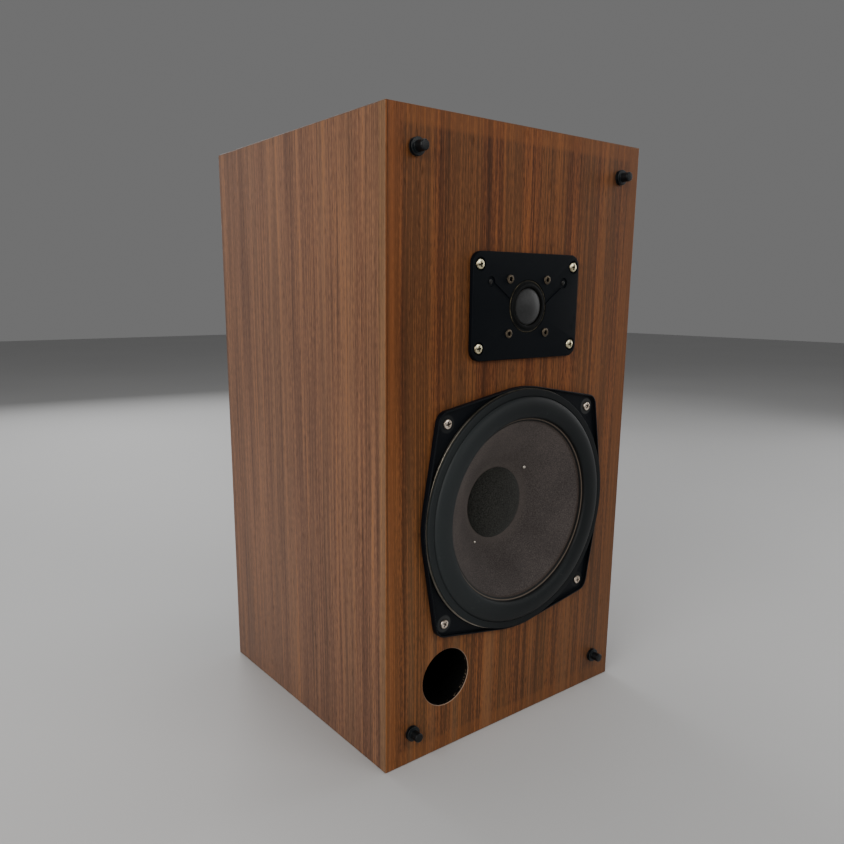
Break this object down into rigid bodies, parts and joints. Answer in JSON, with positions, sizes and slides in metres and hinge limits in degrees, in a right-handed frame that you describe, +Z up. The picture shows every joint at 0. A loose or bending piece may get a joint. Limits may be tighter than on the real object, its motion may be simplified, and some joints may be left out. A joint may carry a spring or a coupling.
{
  "type": "bookshelf speaker",
  "caption": "Two-way ported bookshelf loudspeaker with a mitred walnut-veneered cabinet, dome tweeter, rubber-surround woofer, grille pegs and spring clip terminals.",
  "frame": {"origin": "centre of the flat bottom of the cabinet", "axes": "the baffle faces -Y, +X to the right as seen from in front, +Z up"},
  "size_m": [0.266, 0.2625, 0.48],
  "materials": {
    "walnut_veneer": "satin oiled veneer",
    "black_board": "matt black paint",
    "black_plastic": "satin black",
    "red_plastic": "satin red",
    "black_painted_metal": "blue-black satin paint",
    "bare_metal": "bare turned metal",
    "black_rubber": "satin dark grey rubber",
    "cone_paper": "matt brownish grey coated paper",
    "flocked_fabric": "dark grey flock",
    "dome_fabric": "coated dark grey fabric",
    "spider_cloth": "resin dipped amber cloth",
    "copper": "enamelled copper wire",
    "zinc_plated_steel": "zinc plated",
    "ferrite": "unglazed dark grey ferrite",
    "nickel": "nickel plated",
    "brass": "dull brass",
    "circuit_board": "laminated board",
    "yellow_film": "yellow film wrap",
    "cable_jacket": "black insulation",
    "polyester_wool": "loose white wool"
  },
  "bodies": {
    "cabinet": {"back_panel": "black_board", "bottom_panel": "walnut_veneer", "contact_spring_black": "brass", "contact_spring_red": "brass", "cross_brace": "black_board", "crossover_board": "circuit_board", "crossover_capacitor": "yellow_film", "crossover_inductor": "copper", "front_baffle": "walnut_veneer", "grille_peg_bottom_left": "black_plastic", "grille_peg_bottom_right": "black_plastic", "grille_peg_top_left": "black_plastic", "grille_peg_top_right": "black_plastic", "left_side_panel": "walnut_veneer", "lever_pin": "zinc_plated_steel", "port_tube": "black_plastic", "right_side_panel": "walnut_veneer", "terminal_plate": "black_plastic", "tinsel_lead_lower": "copper", "tinsel_lead_upper": "copper", "top_panel": "walnut_veneer", "tweeter_back_plate": "zinc_plated_steel", "tweeter_cable": "cable_jacket", "tweeter_faceplate": "black_plastic", "tweeter_magnet": "ferrite", "tweeter_rivet_bottom_left": "brass", "tweeter_rivet_bottom_right": "brass", "tweeter_rivet_top_left": "brass", "tweeter_rivet_top_right": "brass", "tweeter_screw_bottom_left": "nickel", "tweeter_screw_bottom_right": "nickel", "tweeter_screw_top_left": "nickel", "tweeter_screw_top_right": "nickel", "tweeter_suspension": "dome_fabric", "tweeter_tab_left": "brass", "tweeter_tab_right": "brass", "tweeter_top_plate": "zinc_plated_steel", "wadding": "polyester_wool", "woofer_back_plate": "zinc_plated_steel", "woofer_basket": "black_painted_metal", "woofer_cable": "cable_jacket", "woofer_gasket": "black_rubber", "woofer_magnet": "ferrite", "woofer_screw_bottom_left": "nickel", "woofer_screw_bottom_right": "nickel", "woofer_screw_top_left": "nickel", "woofer_screw_top_right": "nickel", "woofer_spider": "spider_cloth", "woofer_surround": "black_rubber", "woofer_top_plate": "zinc_plated_steel", "woofer_trim_ring": "bare_metal"},
    "woofer_cone_assembly": {"woofer_cone": "cone_paper", "woofer_dust_cap": "flocked_fabric", "woofer_voice_coil": "copper", "cone_eyelet_upper": "nickel", "cone_eyelet_lower": "nickel"},
    "tweeter_dome_assembly": {"tweeter_dome": "dome_fabric", "tweeter_voice_coil": "copper"},
    "red_lever": {"clip_lever_red": "red_plastic"},
    "black_lever": {"clip_lever_black": "black_plastic"}
  },
  "joints": [
    {"name": "woofer_cone_travel", "type": "slide", "parent": "cabinet", "child": "woofer_cone_assembly", "axis": [0, -1, 0], "range_m": [-0.005, 0.005], "stiffness_N_per_m": 1200, "deforming": ["woofer_surround", "woofer_spider", "tinsel_lead_upper", "tinsel_lead_lower"]},
    {"name": "tweeter_dome_travel", "type": "slide", "parent": "cabinet", "child": "tweeter_dome_assembly", "axis": [0, -1, 0], "range_m": [-0.0005, 0.0005], "stiffness_N_per_m": 60, "deforming": ["tweeter_suspension"]},
    {"name": "red_lever_press", "type": "hinge", "parent": "cabinet", "child": "red_lever", "pos_m": [0.0134, 0.107, 0.1565], "axis": [-1, 0, 0], "range_deg": [0, 22], "stiffness_Nm_per_rad": 0.02, "springref_deg": -11.46},
    {"name": "black_lever_press", "type": "hinge", "parent": "cabinet", "child": "black_lever", "pos_m": [-0.0134, 0.107, 0.1565], "axis": [-1, 0, 0], "range_deg": [0, 22], "stiffness_Nm_per_rad": 0.02, "springref_deg": -11.46}
  ]
}
